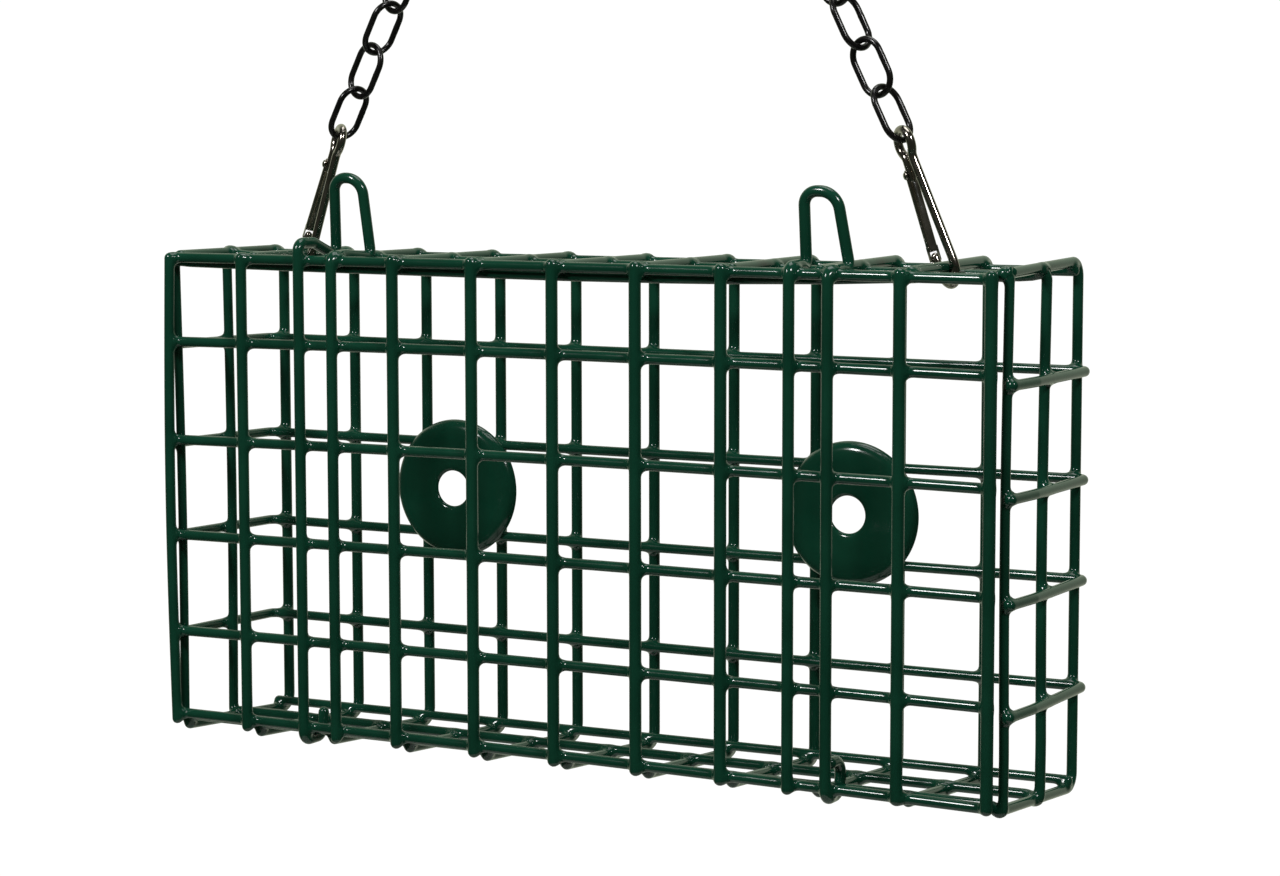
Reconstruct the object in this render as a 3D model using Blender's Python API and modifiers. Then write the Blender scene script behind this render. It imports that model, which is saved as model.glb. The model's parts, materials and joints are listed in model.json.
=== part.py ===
"""Hanging suet-cake feeder: a welded wire basket with a hinged wire door, hung from a chain by two snap hooks.

Lengths below are in millimetres and are turned into metres where the objects are made.
+Z is up, the door faces -Y, and X runs along the basket. The origin is the hang point, under the upper
bar of the chain's level middle link, where a hook carries the feeder.
"""

from math import asin, atan, cos, pi, radians, sin

import bmesh
import bpy
from mathutils import Vector

MM = 0.001

# Coated basket wire, and the spacing of two crossing wires, which leaves a hair of room between them
WIRE = 2.2
LAYER = 2.45
PITCH = 25.4                    # upright wires, across the basket
COLUMNS = 11                    # upright wires, 0 to 10

# Basket, measured from the middle hoop's top rail: y behind it, z above it
HOOP_HALF_WIDTH = 128.3
HOOP_Y = (-24.4, 0.0)           # front and middle hoop
HOOP_TOP = (-0.7, 0.0)
HOOP_BOTTOM = (-133.5, -134.8)
REAR_RAIL_Y = 22.0              # two straight rails inside the back's top and bottom bends
REAR_RAIL_Z = (0.2, -136.0)
REAR_RAIL_HALF = 127.6
TOP_WIRE_Z = (1.85, 2.8)        # front and back ends of the wires that cross over the hoops
BOTTOM_WIRE_Z = (-135.97, -138.7)   # and under them
HOOP_BEND = 2.6
BACK_Y = 26.9                   # upright wires at the back, outside the level ones
BACK_BEND = 4.0
BAND_Z = (-26.1, -54.8, -81.6, -110.3)   # level wires round the sides and back
BAND_BEND = 2.5

# Door, measured from the front hoop's bottom rail, which it swings on
DOOR_PLAY = -1.3                # the door sits a little to one side of the basket
DOOR_RAIL_Y = -LAYER
DOOR_WIRE_Y = -4.45
DOOR_PAIR_Y = -4.9
DOOR_RAIL_Z = (0.6, 25.7, 53.8, 81.9, 110.3, 134.0)
DOOR_EDGE = 126.5
DOOR_BOTTOM, DOOR_TOP = -0.7, 135.6
PAIR_COLUMNS = (2, 8)           # a hairpin wire stands here in place of a single upright
PAIR_HALF = 5.5
HOOK_Z = -2.5                   # the hinge hooks pass this far under the rail's middle
LOOP_FOOT = 134.2

# Domed washers welded inside the back, one behind each cake
WASHER_X = 63.5
WASHER_Z = -67.9
WASHER_OUTER = 20.0
WASHER_HOLE = 5.4
WASHER_BACK_Y = BACK_Y - LAYER - WIRE / 2 - 0.3

# Chain
LINK_WIRE = 1.75
LINK_PITCH = 13.4
LINK_GAP = 0.25                 # running clearance between two links
TOP_GAP = 0.7                   # and between the middle link and the two that hang in it
LINK_HALF_WIDTH = 4.72          # to the middle of the wire
LEG_LINKS = 14
LINK_TURN = 45.0                # each link lies this far off the next link's square, one way then the other

# Snap hooks
SNAP_WIRE = 2.4
SNAP_FOOT_X = 101.6             # each hook takes the middle top rail where a side wire crosses it
SNAP_LEAN = 21.0
SNAP_TWIST = (-137.0, -134.0)   # turned about its length so that it clears both wires
SNAP_REACH = 38.0               # eye contact to the middle of the rail
SNAP_BEND = 4.7
RAIL_GAP = 0.60                 # from the rail to the bottom of the hook, along the hook's lean
EYE_RADIUS = 3.8
EYE_CLEAR = 0.6
NECK_HALF = 2.0
NOSE_RISE = 4.4
PIVOT_Z = -10.0                 # the gate's pivot, from the eye contact
GATE_WALL = 0.5
GATE_WEB_END = -20.9
GATE_EAR_END = -23.6
PIN_RADIUS = 0.55
PIN_HOLE = 0.85

SIX_SIDED = 1                   # bevel_resolution of six-sided wire
EIGHT_SIDED = 2                  # bevel_resolution of eight-sided wire


for old in list(bpy.data.objects):
    bpy.data.objects.remove(old)

parts = bpy.data.collections.new("hanging_bird_feeder")
cutters = bpy.data.collections.new("cutters")
for holder in (parts, cutters):
    bpy.context.scene.collection.children.link(holder)


def material(name, colour, metallic, roughness):
    made = bpy.data.materials.new(name)
    made.use_nodes = True
    shader = made.node_tree.nodes["Principled BSDF"]
    shader.inputs["Base Color"].default_value = (*colour, 1.0)
    shader.inputs["Metallic"].default_value = metallic
    shader.inputs["Roughness"].default_value = roughness
    made.diffuse_color = (*colour, 1.0)
    return made


green = material("green_vinyl_coating", (0.005, 0.042, 0.021), 0.0, 0.22)
green_disc = material("green_vinyl_washer", (0.006, 0.048, 0.024), 0.0, 0.25)
black = material("black_chain_steel", (0.012, 0.012, 0.013), 0.3, 0.35)
nickel = material("dark_nickel", (0.33, 0.31, 0.28), 1.0, 0.15)
spring_steel = material("spring_steel", (0.45, 0.45, 0.46), 1.0, 0.3)


def empty(name, at, turn=(0, 0, 0)):
    """A guide on a joint's axis that carries the pieces of one moving group."""
    made = bpy.data.objects.new(name, None)
    made.empty_display_size = 10 * MM
    made.location = Vector(at) * MM
    made.rotation_mode = "ZYX"
    made.rotation_euler = turn
    parts.objects.link(made)
    return made


def bent(path, step=pi / 8):
    """The points of a wire bent from straight runs. path lists (point, bend radius); the ends have no bend."""
    corners = [Vector(point) for point, _ in path]
    points = [corners[0]]
    for before, (corner, after) in enumerate(zip(corners[1:-1], corners[2:])):
        radius = path[before + 1][1]
        into = (corner - corners[before]).normalized()
        out = (after - corner).normalized()
        turn = into.angle(out)
        side = (out - into * into.dot(out)).normalized()
        centre = corner - into * radius * sin(turn / 2) / cos(turn / 2) + side * radius
        count = max(2, round(turn / step))
        for i in range(count + 1):
            angle = turn * i / count
            points.append(centre + into * radius * sin(angle) - side * radius * cos(angle))
    points.append(corners[-1])
    return points


def wire(name, points, diameter, finish, holder=None, cyclic=False, sides=SIX_SIDED, taper=()):
    """A round wire along the points. taper gives the last points' share of the full radius."""
    curve = bpy.data.curves.new(name, "CURVE")
    curve.dimensions = "3D"
    curve.bevel_depth = diameter / 2 * MM
    curve.bevel_resolution = sides
    curve.use_fill_caps = True
    spline = curve.splines.new("POLY")
    spline.points.add(len(points) - 1)
    for knot, point in zip(spline.points, points):
        knot.co = (*(Vector(point) * MM), 1.0)
    for knot, share in zip(reversed(spline.points), reversed(taper)):
        knot.radius = share
    spline.use_cyclic_u = cyclic
    spline.use_smooth = True
    curve.materials.append(finish)
    made = bpy.data.objects.new(name, curve)
    made.parent = holder
    parts.objects.link(made)
    return made


def as_mesh(source, name=None):
    """The curve object's evaluated surface, welded, as a mesh object in the same place."""
    bpy.context.view_layer.update()
    graph = bpy.context.evaluated_depsgraph_get()
    mesh = bpy.data.meshes.new_from_object(source.evaluated_get(graph))
    cleaned = bmesh.new()
    cleaned.from_mesh(mesh)
    bmesh.ops.remove_doubles(cleaned, verts=cleaned.verts, dist=0.00001)
    cleaned.to_mesh(mesh)
    cleaned.free()
    label, holder, world = name or source.name, source.parent, source.matrix_world.copy()
    bpy.data.objects.remove(source)
    made = bpy.data.objects.new(label, mesh)
    parts.objects.link(made)
    made.parent = holder
    bpy.context.view_layer.update()
    made.matrix_world = world
    return made


def joined(pieces, name):
    """One mesh object holding several pieces that don't touch each other."""
    merged = bmesh.new()
    for piece in pieces:
        start = len(merged.verts)
        merged.from_mesh(piece.data)
        merged.verts.ensure_lookup_table()
        bmesh.ops.transform(merged, matrix=piece.matrix_basis, verts=merged.verts[start:])
    mesh = bpy.data.meshes.new(name)
    merged.to_mesh(mesh)
    merged.free()
    mesh.materials.append(pieces[0].data.materials[0])
    made = bpy.data.objects.new(name, mesh)
    made.parent = pieces[0].parent
    parts.objects.link(made)
    for piece in pieces:
        bpy.data.objects.remove(piece)
    return made


def as_cutter(piece):
    for holder in list(piece.users_collection):
        holder.objects.unlink(piece)
    cutters.objects.link(piece)
    piece.hide_render = True
    piece.display_type = "WIRE"
    return piece


def boolean(target, tool, operation):
    change = target.modifiers.new(operation.lower(), "BOOLEAN")
    change.operation = operation
    change.solver = "EXACT"
    change.object = tool


def cylinder(name, radius, length, at, axis, finish, holder=None, sides=16):
    """A round bar of the given length, centred at the point, along the X or Y axis."""
    mesh = bpy.data.meshes.new(name)
    shape = bmesh.new()
    bmesh.ops.create_cone(shape, cap_ends=True, segments=sides, radius1=radius * MM,
                          radius2=radius * MM, depth=length * MM)
    shape.to_mesh(mesh)
    shape.free()
    mesh.materials.append(finish)
    made = bpy.data.objects.new(name, mesh)
    made.rotation_euler = (0, pi / 2, 0) if axis == "X" else (pi / 2, 0, 0)
    made.location = Vector(at) * MM
    made.parent = holder
    parts.objects.link(made)
    return made


def block(name, low, high, finish, holder=None):
    """A box between two corners."""
    low, high = Vector(low) * MM, Vector(high) * MM
    mesh = bpy.data.meshes.new(name)
    shape = bmesh.new()
    bmesh.ops.create_cube(shape, size=1.0)
    bmesh.ops.scale(shape, vec=high - low, verts=shape.verts)
    bmesh.ops.translate(shape, vec=(high + low) / 2, verts=shape.verts)
    shape.to_mesh(mesh)
    shape.free()
    mesh.materials.append(finish)
    made = bpy.data.objects.new(name, mesh)
    made.parent = holder
    parts.objects.link(made)
    return made


def turned(name, profile, finish, holder, steps):
    """A solid turned about the Z axis from (radius, height) points that run down its outer side."""
    mesh = bpy.data.meshes.new(name)
    ring = [(radius * MM, 0, height * MM) for radius, height in profile]
    mesh.from_pydata(ring, [(i, (i + 1) % len(ring)) for i in range(len(ring))], [])
    mesh.materials.append(finish)
    made = bpy.data.objects.new(name, mesh)
    screw = made.modifiers.new("turn", "SCREW")
    screw.steps = screw.render_steps = steps
    screw.use_merge_vertices = True
    screw.merge_threshold = 0.00001
    made.parent = holder
    parts.objects.link(made)
    return made


# ---------------------------------------------------------------- chain

link_length = LINK_PITCH + LINK_GAP + LINK_WIRE          # to the middle of the wire, end to end
link_straight = link_length / 2 - LINK_HALF_WIDTH
top_link_z = LINK_WIRE / 2 - LINK_HALF_WIDTH             # its upper bar rests on the hook at the origin
eye_x = SNAP_FOOT_X - SNAP_REACH * sin(radians(SNAP_LEAN))
bearing = LINK_HALF_WIDTH - LINK_WIRE / 2 - TOP_GAP + LINK_GAP / 2   # top link's bend to a leg's first joint


def link_points():
    """The middle of an oval link's wire, standing in the XZ plane round the origin."""
    points = []
    for end, rise in ((1, link_straight), (-1, -link_straight)):
        for i in range(6):
            angle = pi * i / 5
            points.append((end * LINK_HALF_WIDTH * cos(angle), 0, rise + end * LINK_HALF_WIDTH * sin(angle)))
    return points


def leg_angle():
    """How far a leg leans from upright, when it runs from the top link's end bend to the snap's eye."""
    run = LEG_LINKS * LINK_PITCH
    lean = radians(25)
    for _ in range(20):
        lean = asin((eye_x - link_straight - bearing * sin(lean)) / run)
    return lean


lean = leg_angle()
leg_top = Vector((link_straight + bearing * sin(lean), 0, top_link_z - bearing * cos(lean)))
leg_down = Vector((sin(lean), 0, -cos(lean)))
eye_point = leg_top + leg_down * LEG_LINKS * LINK_PITCH

top_link = wire("top_link", link_points(), LINK_WIRE, black, cyclic=True)
top_link.location = (0, 0, top_link_z * MM)
top_link.rotation_euler = (0, pi / 2, 0)

shape = wire("shape", [(x, y, z - (LINK_PITCH + LINK_GAP) / 2 + LINK_GAP / 2) for x, y, z in link_points()],
             LINK_WIRE, black, cyclic=True)
hanging = shape.data
bpy.data.objects.remove(shape)
for side, hand in (("left", -1), ("right", 1)):
    for number in range(1, LEG_LINKS + 1):
        steps_down = LEG_LINKS - number
        link = bpy.data.objects.new(f"{side}_link_{number:02d}", hanging)
        at = leg_top + leg_down * steps_down * LINK_PITCH
        link.location = Vector((hand * at.x, at.y, at.z)) * MM
        link.rotation_mode = "ZYX"
        link.rotation_euler = (0, -hand * lean, radians(LINK_TURN if number % 2 else -LINK_TURN))
        parts.objects.link(link)

# ---------------------------------------------------------------- snap hooks

eye_top = EYE_CLEAR + SNAP_WIRE / 2
eye_middle = eye_top - EYE_RADIUS
neck_angle = asin(NECK_HALF / EYE_RADIUS)
bend_middle = -SNAP_REACH - WIRE / 2 - RAIL_GAP - SNAP_WIRE / 2 + SNAP_BEND
nose_top = bend_middle + NOSE_RISE
shank_top = eye_middle - EYE_RADIUS * cos(neck_angle) - 1.4
gate_slope = (SNAP_BEND - NECK_HALF) / (shank_top - nose_top)
PIVOT_Y = -NECK_HALF - gate_slope * (shank_top - PIVOT_Z)


def snap_path():
    """The hook's wire, from the pivot leg over the eye, down the spine and round the bend to the nose."""
    neck = shank_top + 1.4
    points = bent([((0, PIVOT_Y - 1.2 * gate_slope, PIVOT_Z - 1.2), 0), ((0, -NECK_HALF, shank_top), 3.0),
                   ((0, -NECK_HALF, neck + 0.1), 0)])
    for i in range(1, 12):
        angle = neck_angle + (2 * pi - 2 * neck_angle) * i / 12
        points.append(Vector((0, -EYE_RADIUS * sin(angle), eye_middle - EYE_RADIUS * cos(angle))))
    points += bent([((0, NECK_HALF, neck + 0.1), 0), ((0, NECK_HALF, shank_top), 3.0),
                    ((0, SNAP_BEND, bend_middle + 1.0), 8.0), ((0, SNAP_BEND, bend_middle), 0)])
    for i in range(1, 8):
        angle = pi * i / 8
        points.append(Vector((0, SNAP_BEND * cos(angle), bend_middle - SNAP_BEND * sin(angle))))
    points += [Vector((0, -SNAP_BEND, bend_middle)), Vector((0, -SNAP_BEND, nose_top - 0.6)),
               Vector((0, -SNAP_BEND, nose_top))]
    return points


def snap(side, hand, twist):
    """One snap hook at its place on the leg: the hook, its sheet gate with a pin pressed in, and the spring."""
    turn = (0, -hand * radians(SNAP_LEAN), radians(twist))
    at = (hand * eye_point.x, 0, eye_point.z)
    carrier = empty(f"{side}_snap_eye", at, turn)
    y, z = PIVOT_Y, PIVOT_Z
    points = snap_path()
    points.insert(1, points[0].lerp(points[1], 0.1))
    hook = wire(f"{side}_snap_hook", list(reversed(points)), SNAP_WIRE, nickel, carrier, taper=(1.0, 0.7))
    for knot, share in zip(hook.data.splines[0].points, (0.75, 1.0)):
        knot.radius = share
    hook = as_mesh(hook)
    drill = as_cutter(cylinder(f"{side}_pivot_drill", PIN_HOLE, 12, (0, y, z), "X", nickel, carrier))
    boolean(hook, drill, "DIFFERENCE")

    half = SNAP_WIRE / 2 + 0.3
    hinge = empty(f"{side}_gate_pivot", (0, y, z), (-atan(gate_slope), 0, 0))
    hinge.parent = carrier
    gate = block(f"{side}_snap_gate", (-half - GATE_WALL, -half - GATE_WALL, GATE_EAR_END),
                 (half + GATE_WALL, 0.9, 2.0), nickel, hinge)
    hollow = block(f"{side}_gate_hollow", (-half, -half, GATE_EAR_END - 1), (half, 2.0, 3.0), nickel, hinge)
    mouth = block(f"{side}_gate_mouth", (-half, -half - 2, GATE_EAR_END - 1), (half, 0, GATE_WEB_END),
                  nickel, hinge)
    head = half + GATE_WALL - 0.05
    pin = turned(f"{side}_gate_pin",
                 [(0, head + 0.5), (0.8, head + 0.45), (1.15, head), (PIN_RADIUS, head),
                  (PIN_RADIUS, -head), (1.15, -head), (0.8, -head - 0.45), (0, -head - 0.5)],
                 nickel, hinge, 10)
    pin.rotation_euler = (0, pi / 2, 0)
    boolean(gate, as_cutter(hollow), "DIFFERENCE")
    boolean(gate, as_cutter(mouth), "DIFFERENCE")
    boolean(gate, as_cutter(pin), "UNION")
    wire(f"{side}_gate_spring", bent([((0, 0.5, -2.2), 0), ((0, 0.2, -10.0), 0.7), ((0, -1.2, -11.0), 0.5),
                                      ((0, -1.2, -4.0), 0)]), 0.5, spring_steel, hinge)


for side, hand, twist in (("left", -1, SNAP_TWIST[0]), ("right", 1, SNAP_TWIST[1])):
    snap(side, hand, twist)

# ---------------------------------------------------------------- basket

rail_z = eye_point.z - SNAP_REACH * cos(radians(SNAP_LEAN))
basket = empty("basket_rail_axis", (0, 0, rail_z))


def column_x(index):
    return (index - (COLUMNS - 1) / 2) * PITCH


for name, y, high, low in zip(("front_hoop", "middle_hoop"), HOOP_Y, HOOP_TOP, HOOP_BOTTOM):
    x = HOOP_HALF_WIDTH
    corners = [(-x, high), (x, high), (x, low), (-x, low)]
    path = [((0, y, high), 0)] + [((cx, y, cz), HOOP_BEND) for cx, cz in corners[1:] + corners[:1]]
    wire(name, bent(path + [((0, y, high), 0)], pi / 6)[:-1], WIRE, green, basket, cyclic=True)

for name, z in zip(("rear_top_rail", "rear_bottom_rail"), REAR_RAIL_Z):
    wire(name, [(-REAR_RAIL_HALF, REAR_RAIL_Y, z), (REAR_RAIL_HALF, REAR_RAIL_Y, z)], WIRE, green, basket)

for index in range(COLUMNS):
    x = column_x(index)
    wire(f"side_to_back_wire_{index:02d}",
         bent([((x, HOOP_Y[0] - 1.0, TOP_WIRE_Z[0]), 0), ((x, BACK_Y, TOP_WIRE_Z[1]), BACK_BEND),
               ((x, BACK_Y, BOTTOM_WIRE_Z[1]), BACK_BEND), ((x, HOOP_Y[0] + 0.9, BOTTOM_WIRE_Z[0]), 0)], pi / 6),
         WIRE, green, basket)

for number, z in enumerate(BAND_Z, 1):
    x, front, back = HOOP_HALF_WIDTH + LAYER, HOOP_Y[0] + 0.3, BACK_Y - LAYER
    wire(f"level_band_{number}",
         bent([((-x, front, z), 0), ((-x, back, z), BAND_BEND), ((x, back, z), BAND_BEND),
               ((x, front, z), 0)], pi / 6), WIRE, green, basket)

washer_profile = [(WASHER_HOLE, 3.6), (10.5, 3.6), (14.5, 2.8), (18.0, 1.5), (19.5, 1.1), (WASHER_OUTER, 0.55),
                  (19.5, 0.0), (17.6, 0.0), (13.8, 1.0), (10.0, 1.8), (WASHER_HOLE, 1.8)]
for side, hand in (("left", -1), ("right", 1)):
    washer = turned(f"{side}_domed_washer", washer_profile, green_disc, basket, 28)
    washer.location = Vector((hand * WASHER_X, WASHER_BACK_Y, WASHER_Z)) * MM
    washer.rotation_euler = (pi / 2, 0, 0)

# ---------------------------------------------------------------- door

door = empty("door_hinge_axis", (DOOR_PLAY, HOOP_Y[0], rail_z + HOOP_BOTTOM[0]))

rails = [as_mesh(wire(f"rail_{i}", [(-DOOR_EDGE - 1.3, DOOR_RAIL_Y, z), (DOOR_EDGE + 1.3, DOOR_RAIL_Y, z)],
                      WIRE, green, door, sides=EIGHT_SIDED)) for i, z in enumerate(DOOR_RAIL_Z)]
uprights = []
for index in range(COLUMNS):
    if index in PAIR_COLUMNS:
        continue
    x = max(-DOOR_EDGE, min(DOOR_EDGE, column_x(index)))
    uprights.append(as_mesh(wire(f"upright_{index}", [(x, DOOR_WIRE_Y, DOOR_BOTTOM), (x, DOOR_WIRE_Y, DOOR_TOP)],
                                 WIRE, green, door, sides=EIGHT_SIDED)))
for piece in rails + uprights:
    piece.parent = None
    piece.matrix_world = ((1, 0, 0, 0), (0, 1, 0, 0), (0, 0, 1, 0), (0, 0, 0, 1))
door_grid = joined(rails, "door_grid")
grid_uprights = joined(uprights, "door_uprights")
door_grid.parent = grid_uprights.parent = door
boolean(door_grid, as_cutter(grid_uprights), "UNION")


def hairpin(name, hand, middle_x, loop_y, crown, tops, feet, humps, hook):
    """One wire: a hinge hook, an upright, a hump over the top rails and a hanging loop, then back down.

    tops and feet give the loop's left and right side; tops also gives the bend of each.
    """
    outer, inner, front = hand * PAIR_HALF, -hand * PAIR_HALF, DOOR_PAIR_Y

    def leg(x, hump):
        """Top bend, hump and dip of one leg, to the foot of the loop."""
        return [((x, front, hump), 2.4), ((x, 2.6, hump), 3.0), ((feet[x > 0], loop_y, LOOP_FOOT), 2.2)]

    tips = [((x, loop_y - 2.6, crown), bend) for x, bend in tops]
    path = hook(outer) + leg(outer, humps[0])
    path += tips[::-hand]
    path += reversed(leg(inner, humps[1]))
    path += [((inner, front, DOOR_BOTTOM), 0)]
    made = wire(name, bent(path, pi / 6), WIRE, green, door)
    made.location = (middle_x * MM, 0, 0)
    return made


def open_hook(x):
    """A J round the basket's bottom rail, its tip standing behind the rail."""
    return [((x, 5.2, 4.0), 0), ((x, 4.3, HOOK_Z), 2.9), ((x, DOOR_PAIR_Y, HOOK_Z), 2.9)]


def ring_hook(x):
    """A ring nearly closed round the basket's bottom rail."""
    return [((x, -1.4, 6.6), 0), ((x, 4.5, 6.6), 4.0), ((x, 4.5, HOOK_Z), 4.0), ((x, DOOR_PAIR_Y, HOOK_Z), 2.9)]


hairpin("left_latch_loop", -1, column_x(PAIR_COLUMNS[0]), 14.5, 158.2, ((-4.35, 3.9), (4.75, 5.1)),
        (-5.6, 6.2), (140.2, 137.4), open_hook)
hairpin("right_latch_loop", 1, column_x(PAIR_COLUMNS[1]), 7.7, 156.9, ((-6.05, 3.8), (3.25, 5.3)),
        (-6.4, 6.1), (137.05, 137.05), ring_hook)
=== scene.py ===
"""Visual model of the hanging suet feeder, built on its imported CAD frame.

Every wire is drawn again as a round, thickly coated tube, and the coating is drawn out into a web
wherever two wires cross, as a dipped vinyl coat does. Working lengths are millimetres in the frame
of the CAD parts: +Z up, the door facing -Y.
"""

import json
import math

import bpy
import numpy as np
from mathutils import Matrix, Vector


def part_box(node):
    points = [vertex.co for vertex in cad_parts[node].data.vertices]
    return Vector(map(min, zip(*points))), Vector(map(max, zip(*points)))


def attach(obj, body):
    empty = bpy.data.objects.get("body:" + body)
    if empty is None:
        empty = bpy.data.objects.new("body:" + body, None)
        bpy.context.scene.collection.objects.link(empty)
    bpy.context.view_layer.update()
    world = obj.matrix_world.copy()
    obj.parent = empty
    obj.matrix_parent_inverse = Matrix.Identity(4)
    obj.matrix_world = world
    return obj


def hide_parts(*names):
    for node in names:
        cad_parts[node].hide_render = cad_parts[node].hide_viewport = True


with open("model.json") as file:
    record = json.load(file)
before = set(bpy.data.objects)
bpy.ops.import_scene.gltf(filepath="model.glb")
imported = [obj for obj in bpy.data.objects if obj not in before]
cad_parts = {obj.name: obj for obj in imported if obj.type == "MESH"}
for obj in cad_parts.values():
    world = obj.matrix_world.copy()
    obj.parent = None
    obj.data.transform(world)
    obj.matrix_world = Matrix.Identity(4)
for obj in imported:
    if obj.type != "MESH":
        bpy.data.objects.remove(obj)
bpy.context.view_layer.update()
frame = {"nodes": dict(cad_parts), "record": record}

MM = 0.001
BODIES = frame["record"]["behaviour"]["bodies"]
BODY_OF = {node: body for body, nodes in BODIES.items() for node in nodes}

# Coated basket wire: outer radii of the coated wires
UPRIGHT, RAIL, BAND, SIDE_WIRE, PIN, REAR_RAIL = 1.66, 1.45, 1.38, 1.58, 1.55, 1.33
THIN_UPRIGHTS = {0: 1.47, 1: 1.56}    # the door's first two uprights have less coating on them
END_WIRE = 1.4                  # the last side-to-back wire is coated more thinly
HOOP = {"front_hoop": 1.3, "middle_hoop": 1.42}
WEB = 2.2                       # how far two coatings draw together
WEB_REACH = 1.7                 # the most that a web stands out from its wire
# how far the hoops' corners stand out round the end wires:
# top left, top right, bottom right, bottom left
CORNERS = {"front_hoop": (0.2, 2.8, -3.4, -0.9), "middle_hoop": (1.2, 1.2, -1.8, -0.8)}
CORNER_BEND = 1.4
CAD_WIRE = 1.1                  # radius of the same wire in the frame
LAYER = 2.45                    # middle to middle of two crossing wires
PITCH = 25.4
COLUMNS = 11
PAIR_COLUMNS = (2, 8)
BACK_BEND = 4.0
BAND_BEND = 2.5
TOP_WIRE_Z = (1.85, 2.8)
BOTTOM_WIRE_Z = (-135.97, -138.7)

# Door, from the front hoop's bottom rail
DOOR_PLAY = -1.3
LOOP_FOOT = 134.2
DOOR_RAIL_Y = -LAYER
DOOR_WIRE_Y = -4.45
DOOR_PAIR_Y = -4.9
DOOR_RAIL_Z = (0.6, 25.7, 53.8, 81.9, 110.3, 134.0)
DOOR_EDGE = 126.5
DOOR_BOTTOM, DOOR_TOP = -0.7, 135.6
SHORT_UPRIGHTS = {0: 2.0, 1: 1.6}     # how much lower the first two uprights end
PAIR_HALF = 5.5
HOOK_Z = -2.5

# Chain and snap hooks
LINK_PITCH = 13.4
LINK_PLAY = 0.25                # gap between two links where they bear on each other
LINK_WIRE = 1.75
LEG_LINKS = 14
LINK_HALF_WIDTH = 4.72
SNAP_WIRE = 2.4
SNAP_LEAN = math.radians(21.0)
SNAP_TWIST = {"left": math.radians(-137.0), "right": math.radians(-134.0)}
SNAP_REACH = 38.0
SNAP_BEND = 4.7
RAIL_GAP = 0.60
EYE_RADIUS = 3.8
EYE_CLEAR = 0.6
NECK_HALF = 2.0
NOSE_RISE = 4.4
PIVOT_Z = -10.0


# ---------------------------------------------------------------- materials

def node_material(name, colour, metallic, roughness):
    """A Principled material and a helper that adds nodes to it."""
    made = bpy.data.materials.new(name)
    made.use_nodes = True
    tree = made.node_tree
    shader = tree.nodes["Principled BSDF"]
    shader.inputs["Base Color"].default_value = (*colour, 1.0)
    shader.inputs["Metallic"].default_value = metallic
    shader.inputs["Roughness"].default_value = roughness
    return made, tree, shader


def noise(tree, scale, detail=3.0, rough=0.5):
    place = tree.nodes.new("ShaderNodeTexCoord")
    made = tree.nodes.new("ShaderNodeTexNoise")
    made.inputs["Scale"].default_value = scale
    made.inputs["Detail"].default_value = detail
    made.inputs["Roughness"].default_value = rough
    tree.links.new(place.outputs["Object"], made.inputs["Vector"])
    return made.outputs["Fac"]


def blend_colours(tree, factor, low, high):
    made = tree.nodes.new("ShaderNodeValToRGB")
    made.color_ramp.elements[0].position, made.color_ramp.elements[1].position = 0.35, 0.65
    made.color_ramp.elements[0].color, made.color_ramp.elements[1].color = (*low, 1.0), (*high, 1.0)
    tree.links.new(factor, made.inputs["Fac"])
    return made.outputs["Color"]


def spread(tree, factor, low, high):
    made = tree.nodes.new("ShaderNodeMapRange")
    made.inputs["From Min"].default_value, made.inputs["From Max"].default_value = 0.3, 0.7
    made.inputs["To Min"].default_value, made.inputs["To Max"].default_value = low, high
    tree.links.new(factor, made.inputs["Value"])
    return made.outputs["Result"]


def bumped(tree, shader, height, strength, distance):
    made = tree.nodes.new("ShaderNodeBump")
    made.inputs["Strength"].default_value = strength
    made.inputs["Distance"].default_value = distance
    tree.links.new(height, made.inputs["Height"])
    tree.links.new(made.outputs["Normal"], shader.inputs["Normal"])


def vinyl():
    made, tree, shader = node_material("green_vinyl", (0.006, 0.06, 0.03), 0.0, 0.2)
    tree.links.new(blend_colours(tree, noise(tree, 60), (0.0036, 0.045, 0.0240), (0.0056, 0.059, 0.0318)),
                   shader.inputs["Base Color"])
    tree.links.new(spread(tree, noise(tree, 140, 3), 0.11, 0.18), shader.inputs["Roughness"])
    shader.inputs["Specular IOR Level"].default_value = 0.5
    bumped(tree, shader, noise(tree, 260, 2), 0.12, 0.0001)
    return made


def chain_black():
    made, tree, shader = node_material("black_chain", (0.012, 0.012, 0.013), 0.0, 0.25)
    tree.links.new(blend_colours(tree, noise(tree, 300), (0.003, 0.003, 0.0035), (0.007, 0.0065, 0.006)),
                   shader.inputs["Base Color"])
    tree.links.new(spread(tree, noise(tree, 300, 3), 0.20, 0.28), shader.inputs["Roughness"])
    bumped(tree, shader, noise(tree, 250, 2), 0.03, 0.00005)
    return made


def nickel():
    made, tree, shader = node_material("dark_nickel", (0.4, 0.37, 0.33), 1.0, 0.08)
    tree.links.new(blend_colours(tree, noise(tree, 200), (0.30, 0.27, 0.23), (0.42, 0.39, 0.35)),
                   shader.inputs["Base Color"])
    tree.links.new(spread(tree, noise(tree, 300, 3), 0.12, 0.2), shader.inputs["Roughness"])
    bumped(tree, shader, noise(tree, 120, 1), 0.02, 0.00005)
    return made


def spring_steel():
    made, tree, shader = node_material("spring_steel", (0.45, 0.45, 0.46), 1.0, 0.25)
    tree.links.new(spread(tree, noise(tree, 900, 4), 0.18, 0.34), shader.inputs["Roughness"])
    return made


MATERIALS = {"green_vinyl": vinyl(), "black_chain": chain_black(), "dark_nickel": nickel(),
             "spring_steel": spring_steel()}


# ---------------------------------------------------------------- shapes

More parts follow.
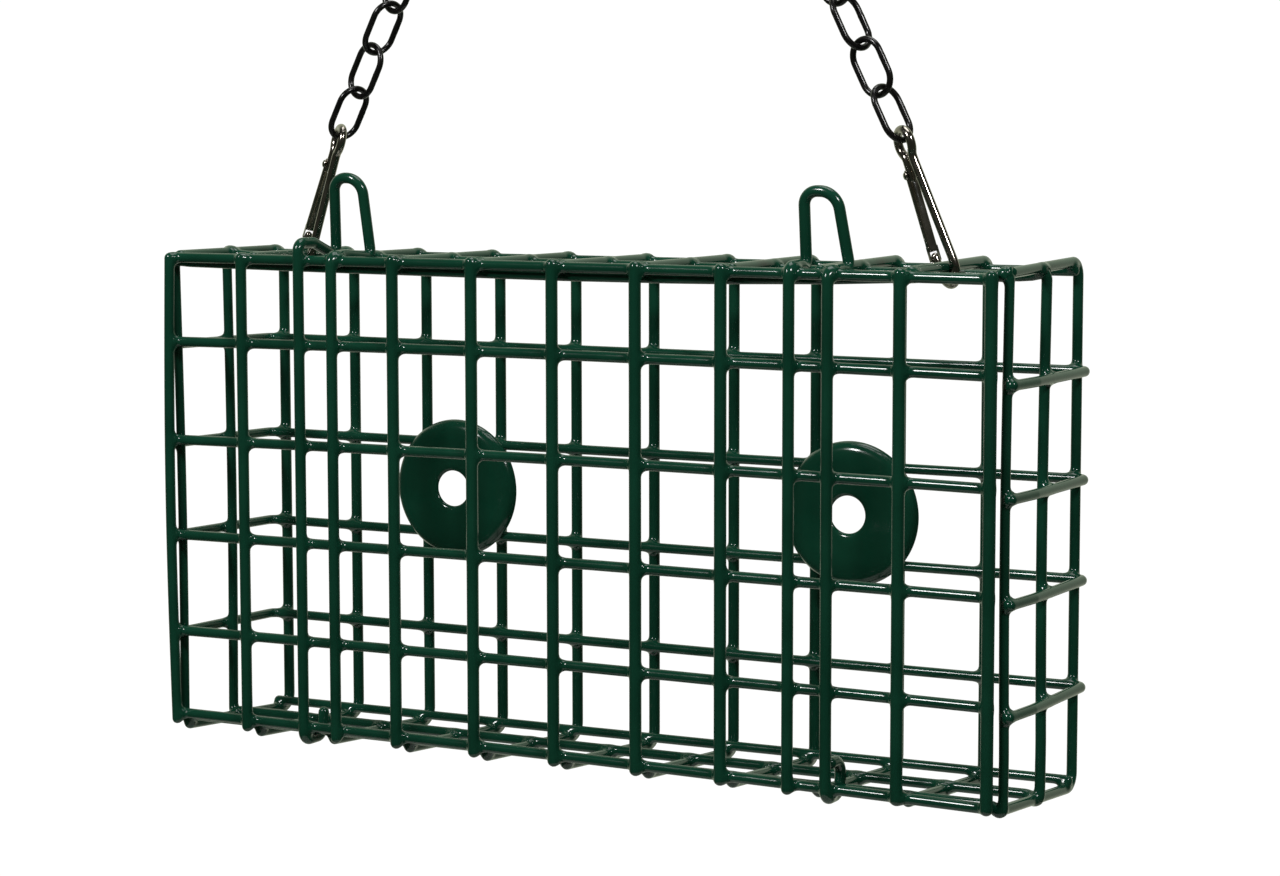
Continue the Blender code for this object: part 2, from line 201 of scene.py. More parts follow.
def place(piece, node, slot):
    """The piece stands for a CAD node, rides on that node's body and takes the slot's material."""
    piece.data.materials.clear()
    piece.data.materials.append(MATERIALS[slot])
    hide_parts(node)
    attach(piece, BODY_OF[node])
    return piece


def mesh_object(name, points, faces):
    """A smooth-shaded object from points in millimetres."""
    mesh = bpy.data.meshes.new(name)
    mesh.from_pydata((np.asarray(points) * MM).tolist(), [], faces)
    mesh.shade_smooth()
    made = bpy.data.objects.new(name, mesh)
    bpy.context.scene.collection.objects.link(made)
    return made


def bent(path, step=math.pi / 24):
    """The middle line of a wire bent from straight runs. path lists (point, bend radius)."""
    corners = [Vector(point) for point, _ in path]
    points = [corners[0]]
    for before, (corner, after) in enumerate(zip(corners[1:-1], corners[2:])):
        radius = path[before + 1][1]
        into = (corner - corners[before]).normalized()
        out = (after - corner).normalized()
        turn = into.angle(out)
        side = (out - into * into.dot(out)).normalized()
        centre = corner - into * radius * math.tan(turn / 2) + side * radius
        count = max(2, round(turn / step))
        for i in range(count + 1):
            angle = turn * i / count
            points.append(centre + into * radius * math.sin(angle) - side * radius * math.cos(angle))
    points.append(corners[-1])
    return points


def spaced(points, closed, gap):
    """The line sampled at about equal gaps, as an array."""
    line = np.array([tuple(p) for p in points], float)
    if closed:
        line = np.vstack([line, line[:1]])
    run = np.concatenate([[0], np.cumsum(np.linalg.norm(np.diff(line, axis=0), axis=1))])
    count = max(4, int(round(run[-1] / gap)))
    at = np.linspace(0, run[-1], count + 1)
    if closed:
        at = at[:-1]
    return np.stack([np.interp(at, run, line[:, k]) for k in range(3)], axis=1)


def to_line(points, line, closed):
    """Each point's distance to the middle line of a wire."""
    start = line if closed else line[:-1]
    end = np.roll(line, -1, axis=0) if closed else line[1:]
    run = end - start
    length = np.maximum((run ** 2).sum(1), 1e-12)
    best = np.full(len(points), np.inf)
    for chunk in range(0, len(points), 4000):
        part = points[chunk:chunk + 4000]
        away = part[:, None, :] - start[None]
        share = np.clip((away * run[None]).sum(2) / length[None], 0, 1)
        gap = away - share[..., None] * run[None]
        best[chunk:chunk + 4000] = np.sqrt((gap ** 2).sum(2)).min(1)
    return best


class Strand:
    """One coated wire: its middle line, its radius, and the solid it is part of."""

    def __init__(self, node, points, radius, closed=False):
        self.node, self.radius, self.closed = node, radius, closed
        self.corners = np.array([tuple(p) for p in points], float)
        self.low, self.high = self.corners.min(0) - radius, self.corners.max(0) + radius

    def near(self, other, margin=5.0):
        return (self.low < other.high + margin).all() and (self.high > other.low - margin).all()

    def distance(self, points):
        return to_line(points, self.corners, self.closed) - self.radius


FINE = 0.4                      # ring spacing where wires cross or bend
COARSE = 10                     # every so many fine rings elsewhere
SIDES = 20
CAP_RINGS = 5


def rings_of(strand, others):
    """Ring centres along the strand, closely spaced only near crossings and bends."""
    fine = spaced(strand.corners, strand.closed, FINE)
    keep = np.zeros(len(fine), bool)
    keep[::COARSE] = True
    keep[[0, -1]] = True
    for other in others:
        keep |= to_line(fine, other.corners, other.closed) < strand.radius + other.radius + 2.6
    ahead, behind = np.roll(fine, -1, 0) - fine, fine - np.roll(fine, 1, 0)
    lengths = np.linalg.norm(ahead, axis=1) * np.linalg.norm(behind, axis=1)
    cosine = (ahead * behind).sum(1) / np.maximum(lengths, 1e-9)
    turning = cosine < 0.9999
    keep |= turning | np.roll(turning, 1) | np.roll(turning, -1)
    return fine[keep]


def frames_along(line, closed):
    """A twist-free pair of side directions at every ring."""
    ahead = (np.roll(line, -1, 0) - np.roll(line, 1, 0)) if closed else np.gradient(line, axis=0)
    ahead /= np.linalg.norm(ahead, axis=1)[:, None]
    first = np.array((0.31, 0.83, 0.46))
    side = first - ahead[0] * first.dot(ahead[0])
    sides = []
    for direction in ahead:
        side = side - direction * side.dot(direction)
        side = side / np.linalg.norm(side)
        sides.append(side)
    sides = np.array(sides)
    if closed:                  # share out the twist left where the ring of the line closes
        last = sides[-1] - ahead[0] * sides[-1].dot(ahead[0])
        last /= np.linalg.norm(last)
        slip = math.atan2(np.cross(sides[0], last).dot(ahead[0]), sides[0].dot(last))
        back = -slip * np.arange(len(line)) / len(line)
        sides = sides * np.cos(back)[:, None] + np.cross(ahead, sides) * np.sin(back)[:, None]
    return ahead, sides, np.cross(ahead, sides)


def tube(strand, others, sides=SIDES, centres=None, shares=None):
    """Vertices and faces of the coated wire, drawn out to meet the wires that it crosses."""
    line = rings_of(strand, others) if centres is None else centres
    ahead, across, over = frames_along(line, strand.closed)
    count = len(line)
    turn = 2 * np.pi * np.arange(sides) / sides
    around = (np.cos(turn)[None, :, None] * across[:, None, :]
              + np.sin(turn)[None, :, None] * over[:, None, :])
    radius = np.full(count, strand.radius) if shares is None else strand.radius * np.asarray(shares)
    out = around.reshape(-1, 3)
    base = np.repeat(line, sides, 0)
    vertices = base + out * np.repeat(radius, sides)[:, None]
    if not strand.closed:       # rounded ends
        ends = []
        for end, sign in ((0, -1), (count - 1, 1)):
            for i in range(1, CAP_RINGS + 1):
                lean = math.pi / 2 * i / CAP_RINGS
                reach = radius[end] * math.sin(lean) * sign
                ends.append((end, reach, max(radius[end] * math.cos(lean), 1e-3)))
        extra_out, extra_points = [], []
        for end, reach, wide in ends:
            centre = line[end] + ahead[end] * reach
            points = centre + around[end] * wide
            normals = points - line[end]
            extra_points.append(points)
            extra_out.append(normals / np.linalg.norm(normals, axis=1)[:, None])
        vertices = np.vstack([vertices] + extra_points)
        out = np.vstack([out] + extra_out)
    if others:
        vertices = webbed(vertices, out, strand, others)
    faces = []
    rings = [list(range(i * sides, (i + 1) * sides)) for i in range(count)]
    if strand.closed:
        order = rings + [rings[0]]
    else:
        start = [list(range((count + i) * sides, (count + i + 1) * sides)) for i in range(CAP_RINGS)]
        finish = [list(range((count + CAP_RINGS + i) * sides, (count + CAP_RINGS + i + 1) * sides))
                  for i in range(CAP_RINGS)]
        order = start[::-1] + rings + finish
        faces += [tuple(order[0][::-1]), tuple(order[-1])]
    for one, two in zip(order, order[1:]):
        for j in range(sides):
            k = (j + 1) % sides
            faces.append((one[j], one[k], two[k], two[j]))
    return vertices, faces


def webbed(vertices, out, strand, others):
    """Moves the surface outward to the rounded web between this wire and the others."""
    gaps = np.full(len(vertices), np.inf)
    for other in others:
        gaps = np.minimum(gaps, other.distance(vertices))
    active = np.flatnonzero((gaps < WEB) & (gaps > -0.25))
    if not len(active):
        return vertices
    here, away = vertices[active], out[active]
    moved = np.zeros(len(active))
    near = [other for other in others
            if (other.low < here.max(0) + 3).all() and (other.high > here.min(0) - 3).all()]
    for _ in range(9):
        probe = here + away * moved[:, None]
        gap = np.full(len(active), np.inf)
        for other in near:
            gap = np.minimum(gap, other.distance(probe))
        overlap = np.maximum(WEB - np.abs(moved - gap), 0) / WEB
        surface = np.minimum(moved, gap) - overlap ** 2 * WEB / 4
        step = np.where((gap > -0.2) & (surface < 0), -surface * 0.8, 0)
        moved = np.minimum(moved + step, WEB_REACH)
    vertices = vertices.copy()
    vertices[active] = here + away * moved[:, None]
    return vertices


def centre(node):
    low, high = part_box(node)
    return (low + high) / 2 / MM


# ---------------------------------------------------------------- basket and door wires

strands = []
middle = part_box("middle_hoop")
rail_z = middle[1].z / MM - CAD_WIRE
half_width = middle[1].x / MM - CAD_WIRE
front_low, front_high = (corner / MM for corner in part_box("front_hoop"))
front_y = (front_low.y + front_high.y) / 2


def racked(x, left, right):
    """A height that changes evenly from the basket's left end to its right: it is a little out of square."""
    share = (x + half_width) / (2 * half_width)
    return left + (right - left) * share


# how far each hoop's top rail stands above or below its CAD line, along X
SAG = {"front_hoop": [(-128.3, -0.3), (-80, -0.8), (0, -1.2), (40, -1.0), (80, 0.0), (105, 1.1),
                      (128.3, 1.4)],
       "middle_hoop": [(-128.3, 0.0), (128.3, 0.0)]}
HOOP_BOW = 0.6                  # how far the hoops' uprights bow inward
CORNER_SPAN = 3.5               # the corners stand out over this stretch of the rails


def hoop(name, tilt, splay, left_lean, lowered):
    """A rectangular hoop: its rails sag a little, and its uprights bow inward from corners that stand out.

    tilt lowers the bottom rail's left end, splay moves both uprights out, left_lean moves the left
    upright's top out, and lowered takes the bottom rail down.
    """
    low, high = (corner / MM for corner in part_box(name))
    y, top, bottom = (low.y + high.y) / 2, high.z - CAD_WIRE, low.z + CAD_WIRE + lowered
    rise_left, rise_right, drop_right, drop_left = CORNERS[name]
    known_x, known_z = zip(*SAG[name])
    inner, outer = half_width - CORNER_SPAN, half_width + splay

    def top_rail(start, end):
        return [((x, y, top + float(np.interp(x, known_x, known_z))), 25)
                for x in np.linspace(start, end, 12)]

    def bottom_rail(start, end):
        return [((x, y, bottom - tilt * (inner - x) / (2 * inner)), 40)
                for x in np.linspace(start, end, 12)]

    path = top_rail(0, inner)
    path += [((outer, y, top + rise_right), CORNER_BEND)]
    path += [((outer - HOOP_BOW * math.sin(math.pi * t), y, top + (bottom - top) * t), 25)
             for t in np.linspace(0.1, 0.9, 9)]
    path += [((outer - 0.3, y, bottom + drop_right), CORNER_BEND), ((inner, y, bottom), 2)]
    path += bottom_rail(inner - 10, -inner + 10)
    path += [((-inner, y, bottom - tilt), 2), ((-outer, y, bottom - tilt + drop_left), CORNER_BEND)]
    path += [((-outer + HOOP_BOW * math.sin(math.pi * t) - left_lean * t, y, bottom + (top - bottom) * t), 25)
             for t in np.linspace(0.1, 0.9, 9)]
    path += [((-outer - left_lean, y, top + rise_left), CORNER_BEND)]
    path += top_rail(-inner, 0)
    strands.append(Strand(name, bent(path)[:-1], HOOP[name], closed=True))


hoop("front_hoop", 0.0, 0.1, 0.8, 0.0)
hoop("middle_hoop", 0.7, 0.5, 0.0, -0.7)

for name, left, right in (("rear_top_rail", -0.6, 0.0), ("rear_bottom_rail", -0.7, 0.5)):
    low, high = (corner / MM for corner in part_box(name))
    y, z = (low.y + high.y) / 2, (low.z + high.z) / 2
    strands.append(Strand(name, [(low.x, y, z + left), (high.x, y, z + right)], REAR_RAIL))

for index in range(COLUMNS):
    name = f"side_to_back_wire_{index:02d}"
    low, high = (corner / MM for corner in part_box(name))
    x, back = (low.x + high.x) / 2, high.y - CAD_WIRE
    share = min(1.0, (COLUMNS - 1 - index) / 5)
    top_front, top_back = rail_z + TOP_WIRE_Z[0] - 0.9 * share, rail_z + TOP_WIRE_Z[1] - 2.2 * share
    low_back = rail_z + BOTTOM_WIRE_Z[1] + racked(x, -0.5, 0.5)
    low_front = rail_z + BOTTOM_WIRE_Z[0] + racked(x, 0.2, 1.3)
    strands.append(Strand(name, bent([((x, front_y - 0.4, top_front), 0), ((x, back, top_back), BACK_BEND),
                                      ((x, back, low_back), BACK_BEND), ((x, front_y + 0.6, low_front), 0)]),
                          END_WIRE if index == COLUMNS - 1 else SIDE_WIRE))

for number in range(1, 5):
    name = f"level_band_{number}"
    low, high = (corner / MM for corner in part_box(name))
    x, z, front, back = high.x - CAD_WIRE, (low.z + high.z) / 2, low.y, high.y - CAD_WIRE
    strands.append(Strand(name, bent([((-x, front, z + 1.1), 0), ((-x, back, z), BAND_BEND),
                                      ((x, back, z), BAND_BEND), ((x, front + 12, z), 6),
                                      ((half_width + 1.6, front_y - 1.0, z), 0)]), BAND))

hinge = Vector((DOOR_PLAY, front_y, front_low.z + CAD_WIRE))


def on_door(points):
    return [hinge + Vector(p) for p in points]


# how each door rail is bent: its lift in the middle, how far its ends hang, and its slope to the right
DOOR_RAIL_BENDS = ((0.15, 0.5, 0.85), (0.15, 0.5, 0.0), (0.15, 0.5, 0.0), (0.0, 0.8, 0.0), (0.0, 0.8, 0.0),
                   (-0.1, 0.2, 0.0))
reach = DOOR_EDGE - 1.0
for z, (lift, bow, slope) in zip(DOOR_RAIL_Z, DOOR_RAIL_BENDS):
    line = [(x, DOOR_RAIL_Y, z + lift - bow * (x / reach) ** 2 - slope * x / reach)
            for x in np.linspace(-reach, reach, 21)]
    strands.append(Strand("door_grid", on_door(line), RAIL))
for index in range(COLUMNS):
    if index not in PAIR_COLUMNS:
        x = max(-DOOR_EDGE, min(DOOR_EDGE, (index - (COLUMNS - 1) / 2) * PITCH))
        cut = SHORT_UPRIGHTS.get(index, 1.1)
        bow = -1.1 if index == 0 else 0.0       # the left edge of the door is bent outward
        line = [(x + bow * math.sin(math.pi * z / 135), DOOR_WIRE_Y, z)
                for z in np.linspace(DOOR_BOTTOM + 0.4, DOOR_TOP - cut, 15)]
        strands.append(Strand("door_grid", on_door(line), THIN_UPRIGHTS.get(index, UPRIGHT)))


def hairpin(name, hand, column, loop_y, crown, tops, feet, humps, hook):
    """One wire: a hinge hook, an upright, a hump over the top rails and a hanging loop, then back down."""
    outer, inner, front = hand * PAIR_HALF, -hand * PAIR_HALF, DOOR_PAIR_Y

    def leg(x, hump):
        return [((x, front, hump), 2.4), ((x, 2.6, hump), 3.0), ((feet[x > 0], loop_y, LOOP_FOOT), 2.2)]

    tips = [((x, loop_y - 2.6, crown), bend) for x, bend in tops]
    path = hook(outer) + leg(outer, humps[0])
    path += tips[::-hand]
    path += reversed(leg(inner, humps[1]))
    path += [((inner, front, DOOR_BOTTOM), 0)]
    aside = Vector(((column - (COLUMNS - 1) / 2) * PITCH, 0, 0))
    strands.append(Strand(name, on_door([p + aside for p in bent(path)]), PIN))


def open_hook(x):
    return [((x, 5.2, 4.0), 0), ((x, 4.3, HOOK_Z), 2.9), ((x, DOOR_PAIR_Y, HOOK_Z), 2.9)]


def ring_hook(x):
    return [((x, -1.4, 6.6), 0), ((x, 4.5, 6.6), 4.0), ((x, 4.5, HOOK_Z), 4.0),
            ((x, DOOR_PAIR_Y, HOOK_Z), 2.9)]


hairpin("left_latch_loop", -1, PAIR_COLUMNS[0], 14.5, 156.6, ((-4.35, 3.9), (4.75, 5.1)), (-5.6, 6.2),
        (138.7, 135.4), open_hook)
hairpin("right_latch_loop", 1, PAIR_COLUMNS[1], 7.7, 154.9, ((-6.05, 3.8), (3.25, 5.3)), (-6.4, 6.1),
        (134.9, 135.8), ring_hook)

by_node = {}
for strand in strands:
    by_node.setdefault(strand.node, []).append(strand)
for node, group in by_node.items():
    all_points, all_faces = [], []
    for strand in group:
        welded = [other for other in strands
                  if other is not strand and BODY_OF[other.node] == BODY_OF[node] and strand.near(other)]
        points, faces = tube(strand, welded)
        start = sum(len(p) for p in all_points)
        all_points.append(points)
        all_faces += [tuple(i + start for i in face) for face in faces]
    place(mesh_object(node + "_coated", np.vstack(all_points), all_faces), node, "green_vinyl")


# ---------------------------------------------------------------- domed washers

# (radius, distance in front of the washer's back) round its cross-section, from the hole outward
WASHER_SECTION = [(5.15, -2.3), (5.3, -2.9), (5.8, -3.35), (6.6, -3.55), (8.5, -3.5), (11.0, -3.42),
                  (14.5, -3.3), (17.2, -3.05), (18.4, -2.7), (19.2, -2.05), (19.8, -1.2), (20.1, -0.4),
                  (20.1, 0.0), (19.7, 0.35), (18.6, 0.0), (16.8, -0.9), (13.8, -1.6), (10.0, -1.95),
                  (6.2, -2.0), (5.4, -2.1)]


def washer(side):
    node = f"{side}_domed_washer"
    low, high = (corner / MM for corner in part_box(node))
    middle_x, back, middle_z = (low.x + high.x) / 2, high.y, (low.z + high.z) / 2
    turns = 128
    points, faces = [], []
    count = len(WASHER_SECTION)
    for i in range(turns):
        angle = 2 * math.pi * i / turns
        for radius, depth in WASHER_SECTION:
            points.append((middle_x + radius * math.cos(angle), back + depth,
                           middle_z + radius * math.sin(angle)))
    for i in range(turns):
        k = (i + 1) % turns
        for j in range(count):
            n = (j + 1) % count
            faces.append((i * count + j, k * count + j, k * count + n, i * count + n))
    made = mesh_object(node + "_coated", np.array(points), faces)
    rounder = made.modifiers.new("round", "SUBSURF")
    rounder.levels = rounder.render_levels = 1
    place(made, node, "green_vinyl")


for side in ("left", "right"):
    washer(side)


# ---------------------------------------------------------------- chain

def link_line(straight):
    points = []
    for end in (1, -1):
        for i in range(25):
            angle = math.pi * i / 24
            points.append((end * LINK_HALF_WIDTH * math.cos(angle), 0,
                           end * (straight + LINK_HALF_WIDTH * math.sin(angle))))
    return points


LEG_TURN = 28.0                 # degrees that each leg hangs turned by, less towards its top
LINK_STRAIGHT = (LINK_PITCH + LINK_PLAY + LINK_WIRE) / 2 - LINK_HALF_WIDTH


def link(node, turn):
    """One oval link, with the slight swelling of its butt weld half way up one side."""
    line = spaced(link_line(LINK_STRAIGHT), True, 0.55)
    strand = Strand(node, line, LINK_WIRE / 2, True)
    seam = np.array((LINK_HALF_WIDTH, 0, 0.4))
    away = np.linalg.norm(line - seam, axis=1)
    shares = 1 + 0.09 * np.exp(-(away / 0.7) ** 2) - 0.12 * np.exp(-(away / 0.2) ** 2)
    points, faces = tube(strand, [], 18, line, shares)
    middle_point = centre(node)
    turned = [tuple(middle_point + turn @ Vector(p)) for p in points]
    place(mesh_object(node + "_black", np.array(turned), faces), node, "black_chain")


link("top_link", Matrix.Rotation(math.pi / 2, 3, "Y"))
for side, hand in (("left", -1), ("right", 1)):
    run = centre(f"{side}_link_01") - centre(f"{side}_link_02")
    lean = math.atan2(hand * run.x, -run.z)
    number = 1
    while f"{side}_link_{number:02d}" in frame["nodes"]:
        leg_turn = LEG_TURN * min(1.0, (LEG_LINKS - number) / 10)
        twist = math.radians((45 if number % 2 else -45) + leg_turn)
        turn = Matrix.Rotation(-hand * lean, 3, "Y") @ Matrix.Rotation(twist, 3, "Z")
        link(f"{side}_link_{number:02d}", turn)
        number += 1

# ---------------------------------------------------------------- snap hooks

eye_middle = EYE_CLEAR + SNAP_WIRE / 2 - EYE_RADIUS
neck_angle = math.asin(NECK_HALF / EYE_RADIUS)
bend_middle = -SNAP_REACH - CAD_WIRE - RAIL_GAP - SNAP_WIRE / 2 + SNAP_BEND
nose_top = bend_middle + NOSE_RISE
shank_top = eye_middle - EYE_RADIUS * math.cos(neck_angle) - 1.4
gate_slope = (SNAP_BEND - NECK_HALF) / (shank_top - nose_top)
PIVOT_Y = -NECK_HALF - gate_slope * (shank_top - PIVOT_Z)


def snap_line():
    neck = shank_top + 1.4
    points = bent([((0, PIVOT_Y - 1.2 * gate_slope, PIVOT_Z - 1.2), 0), ((0, -NECK_HALF, shank_top), 3.0),
                   ((0, -NECK_HALF, neck + 0.1), 0)])
    for i in range(1, 40):
        angle = neck_angle + (2 * math.pi - 2 * neck_angle) * i / 40
        points.append(Vector((0, -EYE_RADIUS * math.sin(angle), eye_middle - EYE_RADIUS * math.cos(angle))))
    points += bent([((0, NECK_HALF, neck + 0.1), 0), ((0, NECK_HALF, shank_top), 3.0),
                    ((0, SNAP_BEND, bend_middle + 1.0), 8.0), ((0, SNAP_BEND, bend_middle), 0)])
    for i in range(1, 30):
        angle = math.pi * i / 30
        points.append(Vector((0, SNAP_BEND * math.cos(angle), bend_middle - SNAP_BEND * math.sin(angle))))
    points += [Vector((0, -SNAP_BEND, bend_middle)), Vector((0, -SNAP_BEND, nose_top - 0.4))]
    return points


def softened(line, times):
    """Evens out kinks in an open line, its ends kept."""
    for _ in range(times):
        line[1:-1] = line[1:-1] * 0.5 + (line[:-2] + line[2:]) * 0.25
    return line


GATE_HALF = SNAP_WIRE / 2 + 0.05
GATE_WALL = 0.25
WEB_TO = -20.9                  # the gate's closed part ends here, and its two ears go on
EAR_TO = -23.5


def capped(rings, faces_from=0):
    """Faces of a run of equal rings, closed at both ends."""
    wide = len(rings[0])
    points = [p for ring in rings for p in ring]
    faces = [tuple(reversed(range(wide))), tuple(range((len(rings) - 1) * wide, len(rings) * wide))]
    for i in range(len(rings) - 1):
        for j in range(wide):
            k = (j + 1) % wide
            faces.append((i * wide + j, i * wide + k, (i + 1) * wide + k, (i + 1) * wide + j))
    return points, [tuple(f + faces_from for f in face) for face in faces]


def rounded_box(low, high, radius, shrink=0.0):
    """A rounded rectangle's outline."""
    (x0, y0), (x1, y1) = (low[0] + shrink, low[1] + shrink), (high[0] - shrink, high[1] - shrink)
    radius = max(radius - shrink, 0.05)
    outline = []
    for cx, cy, start in ((x1 - radius, y1 - radius, 0), (x0 + radius, y1 - radius, 1),
                          (x0 + radius, y0 + radius, 2), (x1 - radius, y0 + radius, 3)):
        for i in range(9):
            angle = math.pi / 2 * (start + i / 8)
            outline.append((cx + radius * math.cos(angle), cy + radius * math.sin(angle)))
    return outline


def gate_mesh(name):
    """The gate, sheet folded into a bar along -Z from its pivot, with two ears that straddle the nose."""
    half = GATE_HALF + GATE_WALL
    soft, points, faces = 0.35, [], []
    for low, high, corner, top, end in (((-half, -1.15), (half, 0.45), 0.7, 1.5, WEB_TO),
                                        ((-half, -0.9), (-GATE_HALF, 0.4), 0.12, WEB_TO + 1.5, EAR_TO),
                                        ((GATE_HALF, -0.9), (half, 0.4), 0.12, WEB_TO + 1.5, EAR_TO)):
        ease = min(soft, (high[0] - low[0]) * 0.45)
        steps = [(ease * (1 - math.cos(a)), ease * (1 - math.sin(a)))
                 for a in np.linspace(0, math.pi / 2, 5)]
        levels = [(top - back, inset) for back, inset in steps]
        levels += [(z, 0.0) for z in np.linspace(top - soft - 0.5, end + soft + 0.5, 12)]
        levels += [(end + back, inset) for back, inset in reversed(steps)]
        rings = [[(x, y, z) for x, y in rounded_box(low, high, corner, inset)] for z, inset in levels]
        more, more_faces = capped(rings, len(points))
        points += more
        faces += more_faces
    return mesh_object(name, np.array(points), faces)


# each snap hook sits a little askew on its rail, in radians
TURN = {"left": 0.06, "right": 0.05}
TILT = {"left": -0.035, "right": 0.0}


def snap(side, hand):
    eye = centre_of_eye(side, hand)
    lean, twist = -hand * SNAP_LEAN + TILT[side], SNAP_TWIST[side] + TURN[side]
    turn = Matrix.Rotation(lean, 3, "Y") @ Matrix.Rotation(twist, 3, "Z")
    whole = Matrix.Translation(eye * MM) @ turn.to_4x4()

    def set_down(piece, local=Matrix.Identity(4)):
        piece.data.transform(whole @ local)
        return piece

    line = softened(spaced(snap_line(), False, 0.45), 4)
    strand = Strand(f"{side}_snap_hook", line, SNAP_WIRE / 2)
    shares = np.ones(len(line))
    shares[-4:] = (1.0, 0.99, 0.95, 0.88)
    shares[:3] = (0.9, 0.97, 1.0)
    points, faces = tube(strand, [], 24, line, shares)
    rod = mesh_object(f"{side}_snap_hook_polished", points, faces)
    place(set_down(rod), f"{side}_snap_hook", "dark_nickel")

    at_pivot = Matrix.Translation(Vector((0, PIVOT_Y, PIVOT_Z)) * MM)
    hang = at_pivot @ Matrix.Rotation(-math.atan(gate_slope), 4, "X")
    gate = gate_mesh(f"{side}_snap_gate_folded")
    place(set_down(gate, hang), f"{side}_snap_gate", "dark_nickel")

    head = GATE_HALF + GATE_WALL + 0.12
    profile = [(0.0, head + 0.62), (0.5, head + 0.58), (0.9, head + 0.4), (1.12, head + 0.12), (1.15, head),
               (0.55, head - 0.05)]
    profile += [(r, -z) for r, z in reversed(profile)]
    points, faces = [], []
    turns = 28
    for i in range(turns):
        angle = 2 * math.pi * i / turns
        points += [(z, r * math.cos(angle), r * math.sin(angle)) for r, z in profile]
    for i in range(turns):
        k = (i + 1) % turns
        for j in range(len(profile) - 1):
            faces.append((i * len(profile) + j, i * len(profile) + j + 1, k * len(profile) + j + 1,
                          k * len(profile) + j))
    pin = mesh_object(f"{side}_gate_pin_domed", np.array(points), faces)
    place(set_down(pin, at_pivot), f"{side}_snap_gate", "dark_nickel")

    spring_line = spaced(bent([((0, 0.5, -2.2), 0), ((0, 0.2, -10.0), 0.7), ((0, -1.2, -11.0), 0.5),
                               ((0, -1.2, -4.0), 0)]), False, 0.3)
    points, faces = tube(Strand("spring", spring_line, 0.25), [], 12, spring_line)
    place(set_down(mesh_object(f"{side}_gate_spring_wire", points, faces), hang), f"{side}_gate_spring",
          "spring_steel")


def centre_of_eye(side, hand):
    """Where the snap's eye bears on the last link, half a pitch below that link's middle."""
    first, second = centre(f"{side}_link_01"), centre(f"{side}_link_02")
    return first + (first - second) / 2


for side, hand in (("left", -1), ("right", 1)):
    snap(side, hand)


# ---------------------------------------------------------------- stage, light and camera

def area_light(name, at, aim, wide, high, power, colour=(1.0, 1.0, 1.0)):
    data = bpy.data.lights.new(name, "AREA")
    data.shape, data.size, data.size_y = "RECTANGLE", wide, high
    data.energy, data.color = power, colour
    made = bpy.data.objects.new(name, data)
    made.location = at
    made.rotation_euler = (Vector(aim) - Vector(at)).to_track_quat("-Z", "Y").to_euler()
    bpy.context.scene.collection.objects.link(made)
    return made


floor_mesh = bpy.data.meshes.new("floor")
turns = 96
floor_radius, floor_z = 0.5, -0.8
rim = [2 * math.pi * i / turns for i in range(turns)]
edge = [(floor_radius * math.cos(angle), floor_radius * math.sin(angle), floor_z) for angle in rim]
floor_mesh.from_pydata(edge, [], [tuple(range(turns))])
floor = bpy.data.objects.new("floor", floor_mesh)
bpy.context.scene.collection.objects.link(floor)
paper, tree, shader = node_material("pale_floor", (0.82, 0.82, 0.81), 0.0, 0.7)
floor_mesh.materials.append(paper)

basket_middle = Vector((0, 0, (rail_z + hinge.z) / 2 * MM))
front_right = basket_middle + 1.1 * Vector((0.72, -0.36, 0.60))
front_middle = basket_middle + 1.1 * Vector((-0.27, -0.74, 0.61))
area_light("overhead", (0.05, 0.1, 0.5), basket_middle, 0.5, 0.4, 2.0)
area_light("front_right", tuple(front_right), basket_middle, 0.16, 0.16, 4.0)
area_light("front_middle", tuple(front_middle), basket_middle, 0.16, 0.24, 6.0)

world = bpy.data.worlds.new("studio")
bpy.context.scene.world = world
world.use_nodes = True
sky = world.node_tree
background = sky.nodes["Background"]
path_kind = sky.nodes.new("ShaderNodeLightPath")
backdrop = sky.nodes.new("ShaderNodeBackground")
backdrop.inputs["Color"].default_value = (1, 1, 1, 1)
backdrop.inputs["Strength"].default_value = 1.05
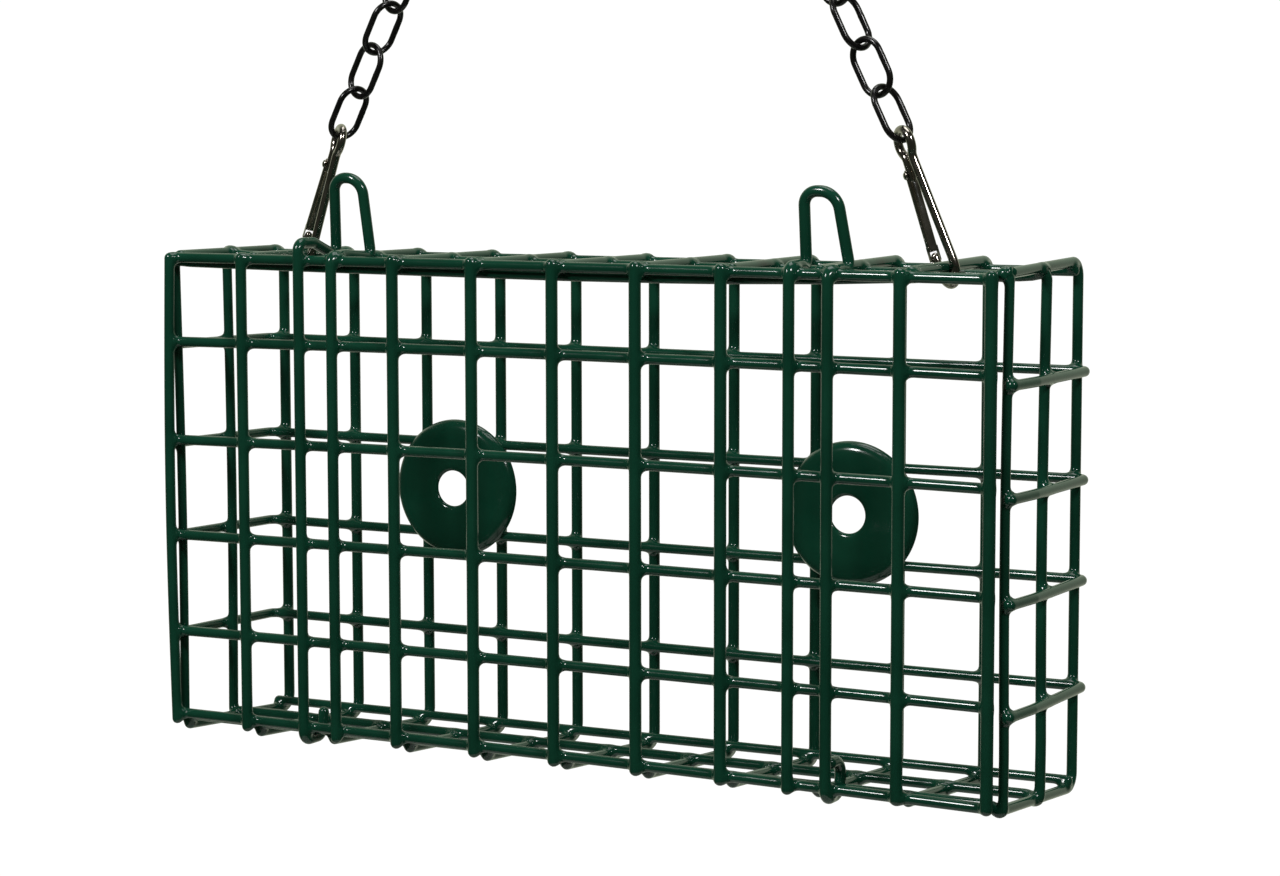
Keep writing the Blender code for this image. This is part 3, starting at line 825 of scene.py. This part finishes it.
# what the coating and the metal reflect: a lit backdrop behind the feeder, and a dim room before it
facing = sky.nodes.new("ShaderNodeTexCoord")
toward = sky.nodes.new("ShaderNodeVectorMath")
toward.operation = "DOT_PRODUCT"
toward.inputs[1].default_value = (-0.47, 0.86, 0.1)
sky.links.new(facing.outputs["Generated"], toward.inputs[0])
glow = sky.nodes.new("ShaderNodeMapRange")
glow.interpolation_type = "SMOOTHSTEP"
glow.inputs["From Min"].default_value, glow.inputs["From Max"].default_value = 0.25, 0.75
glow.inputs["To Min"].default_value, glow.inputs["To Max"].default_value = 0.04, 0.62
sky.links.new(toward.outputs["Value"], glow.inputs["Value"])
sky.links.new(glow.outputs["Result"], background.inputs["Strength"])
background.inputs["Color"].default_value = (0.92, 1.0, 0.78, 1)
choice = sky.nodes.new("ShaderNodeMixShader")
sky.links.new(path_kind.outputs["Is Camera Ray"], choice.inputs[0])
sky.links.new(background.outputs[0], choice.inputs[1])
sky.links.new(backdrop.outputs[0], choice.inputs[2])
sky.links.new(choice.outputs[0], sky.nodes["World Output"].inputs["Surface"])
bpy.context.scene.view_settings.view_transform = "Standard"

# The camera stands in front of the right end, a little above the basket's top rails
CAMERA_YAW, CAMERA_PITCH, CAMERA_ROLL = 0.49851, 0.10577, -0.00138
CAMERA_FROM_RAIL = Vector((423.43, -759.60, 44.44))      # from the middle of the middle hoop's top rail
LENS = 88.81

direction = Vector((-math.sin(CAMERA_YAW) * math.cos(CAMERA_PITCH),
                    math.cos(CAMERA_YAW) * math.cos(CAMERA_PITCH), -math.sin(CAMERA_PITCH)))
right = Vector((math.cos(CAMERA_YAW), math.sin(CAMERA_YAW), 0))
up = right.cross(direction)
rolled_right = math.cos(CAMERA_ROLL) * right + math.sin(CAMERA_ROLL) * up
rolled_up = math.cos(CAMERA_ROLL) * up - math.sin(CAMERA_ROLL) * right
camera_data = bpy.data.cameras.new("camera")
camera_data.sensor_width, camera_data.lens, camera_data.clip_start = 36, LENS, 0.01
camera = bpy.data.objects.new("camera", camera_data)
bpy.context.scene.collection.objects.link(camera)
stand = Matrix((rolled_right, rolled_up, -direction)).transposed().to_4x4()
stand.translation = (CAMERA_FROM_RAIL + Vector((0, 0, rail_z))) * MM
camera.matrix_world = stand
bpy.context.scene.camera = camera
